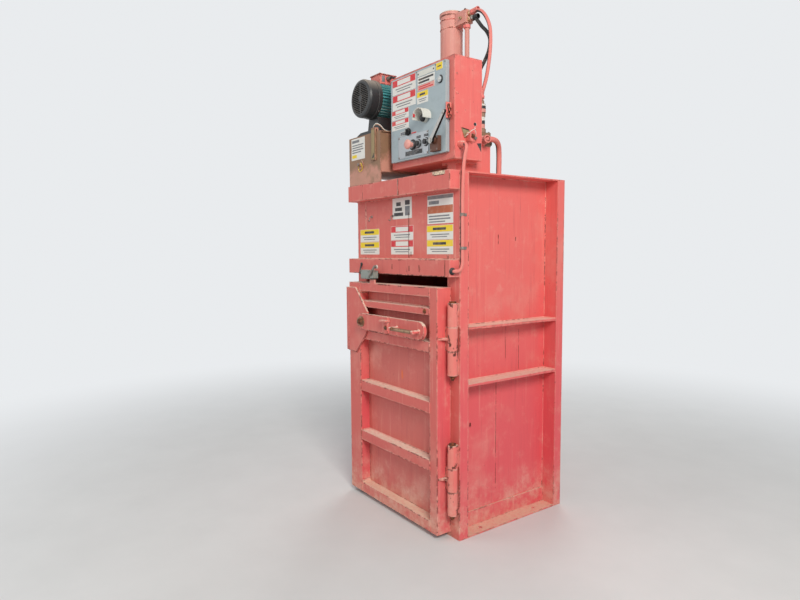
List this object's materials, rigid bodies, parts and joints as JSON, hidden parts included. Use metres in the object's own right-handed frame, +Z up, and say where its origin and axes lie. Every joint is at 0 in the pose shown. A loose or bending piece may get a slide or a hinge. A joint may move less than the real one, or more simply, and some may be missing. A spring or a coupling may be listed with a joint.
{
  "type": "vertical baler",
  "caption": "Vertical press for waste: a tall welded cabinet with a ribbed side-hinged chamber door and lever latch; ram, oil tank, motor and control box on top",
  "frame": {"origin": "on the floor, in the middle of the four floor bolts", "axes": "+Z up, -Y the front with the chamber door, +X to the right as seen from the front"},
  "size_m": [0.9564, 0.927, 2.78],
  "materials": {
    "body_paint": "faded coral paint on welded plate, dusty, with rust at the edges",
    "body_side_paint": "the same paint, less faded on the side panels",
    "chamber_paint": "scuffed paint inside the press chamber",
    "grey_paint": "pale grey enamel on the control door",
    "tank_paint": "dusty, oily tan paint",
    "motor_paint": "teal enamel on the finned motor",
    "black_paint": "black enamel, dusty",
    "bare_steel": "turned steel, dull, rusty at the hinge pins",
    "polished_rod": "hard chrome on the piston rod",
    "plated_plate": "satin button plate",
    "brown_plastic": "brown switch housing",
    "faded_plastic": "sun-faded red push button",
    "black_plastic": "black push buttons and contact blocks",
    "white_plastic": "pale hood over the pilot light",
    "hose_black": "black hydraulic hose",
    "hose_pink": "hose and conduit painted over with the body"
  },
  "bodies": {
    "frame": {"front_posts": "body_paint", "rear_posts": "body_side_paint", "side_panel_left": "body_side_paint", "side_panel_right": "body_side_paint", "back_panel": "body_side_paint", "body_ribs": "body_side_paint", "upper_beam": "body_paint", "lower_beam": "body_paint", "header_panel": "body_paint", "deck_plate": "body_side_paint", "base_angles": "body_side_paint", "chamber_floor": "chamber_paint", "floor_frame": "body_paint", "latch_keeper": "body_paint", "frame_knuckles": "body_paint", "hinge_pins": "bare_steel", "cylinder_barrel": "body_paint", "cylinder_flange": "body_paint", "rod_gland": "bare_steel", "port_block": "body_paint", "oil_tank": "tank_paint", "filler_cap": "bare_steel", "motor_body": "motor_paint", "fan_cowl": "black_paint", "terminal_box": "body_paint", "motor_base": "black_paint", "pump": "tank_paint", "box_posts": "body_side_paint", "control_box": "body_side_paint", "inner_plate": "bare_steel", "valve_stack": "tank_paint", "cap_hoses": "hose_black", "rod_hose": "hose_pink", "power_hoses": "hose_black", "conduit": "hose_pink", "limit_switch": "tank_paint"},
    "ram": {"ram_rod": "polished_rod", "platen": "chamber_paint", "platen_bars": "chamber_paint"},
    "door": {"door_stiles": "body_paint", "door_rails": "body_paint", "door_panel": "body_paint", "door_ribs": "body_paint", "door_knuckles": "body_paint", "latch_plate": "body_paint"},
    "latch": {"latch_arm": "body_paint", "latch_shaft": "bare_steel"},
    "box_door": {"control_door": "grey_paint", "button_plate": "plated_plate", "indicator_hood": "white_plastic", "disconnect_base": "brown_plastic", "contact_blocks": "black_plastic"},
    "disconnect": {"disconnect_lever": "bare_steel"},
    "estop": {"estop_button": "faded_plastic"},
    "start": {"start_button": "black_plastic"},
    "return": {"return_button": "black_plastic"},
    "selector": {"selector_knob": "black_plastic"},
    "lock": {"key_lock": "bare_steel"},
    "fan": {"motor_fan": "black_paint"},
    "switch_lever": {"switch_arm": "bare_steel"}
  },
  "joints": [
    {"name": "door_swing", "type": "hinge", "parent": "frame", "child": "door", "pos_m": [0.443, -0.407, 0.65], "axis": [0, 0, 1], "range_deg": [0, 170]},
    {"name": "latch_lift", "type": "hinge", "parent": "door", "child": "latch", "pos_m": [-0.25, -0.488, 1.05], "axis": [0, -1, 0], "range_deg": [0, 50]},
    {"name": "platen_press", "type": "slide", "parent": "frame", "child": "ram", "axis": [0, 0, -1], "range_m": [0, 0.87]},
    {"name": "control_door_swing", "type": "hinge", "parent": "frame", "child": "box_door", "pos_m": [-0.081, -0.386, 2.14], "axis": [0, 0, -1], "range_deg": [0, 100]},
    {"name": "disconnect_throw", "type": "hinge", "parent": "box_door", "child": "disconnect", "pos_m": [0.32, -0.44, 1.985], "axis": [0, 1, 0], "range_deg": [0, 90]},
    {"name": "estop_push", "type": "slide", "parent": "box_door", "child": "estop", "axis": [0, 1, 0], "range_m": [0, 0.006], "stiffness_N_per_m": 900},
    {"name": "start_push", "type": "slide", "parent": "box_door", "child": "start", "axis": [0, 1, 0], "range_m": [0, 0.005], "stiffness_N_per_m": 300},
    {"name": "return_push", "type": "slide", "parent": "box_door", "child": "return", "axis": [0, 1, 0], "range_m": [0, 0.005], "stiffness_N_per_m": 300},
    {"name": "selector_turn", "type": "hinge", "parent": "box_door", "child": "selector", "pos_m": [0.082, -0.41, 2.065], "axis": [0, 1, 0], "range_deg": [-45, 45]},
    {"name": "key_lock_turn", "type": "hinge", "parent": "box_door", "child": "lock", "pos_m": [0.344, -0.405, 2.276], "axis": [0, 1, 0], "range_deg": [0, 90]},
    {"name": "fan_spin", "type": "hinge", "parent": "frame", "child": "fan", "pos_m": [-0.283, -0.42, 2.305], "axis": [0, 1, 0], "continuous": true},
    {"name": "limit_switch_swing", "type": "hinge", "parent": "frame", "child": "switch_lever", "pos_m": [-0.164, -0.49, 1.319], "axis": [0, 1, 0], "range_deg": [-20, 20], "stiffness_Nm_per_rad": 0.4}
  ]
}
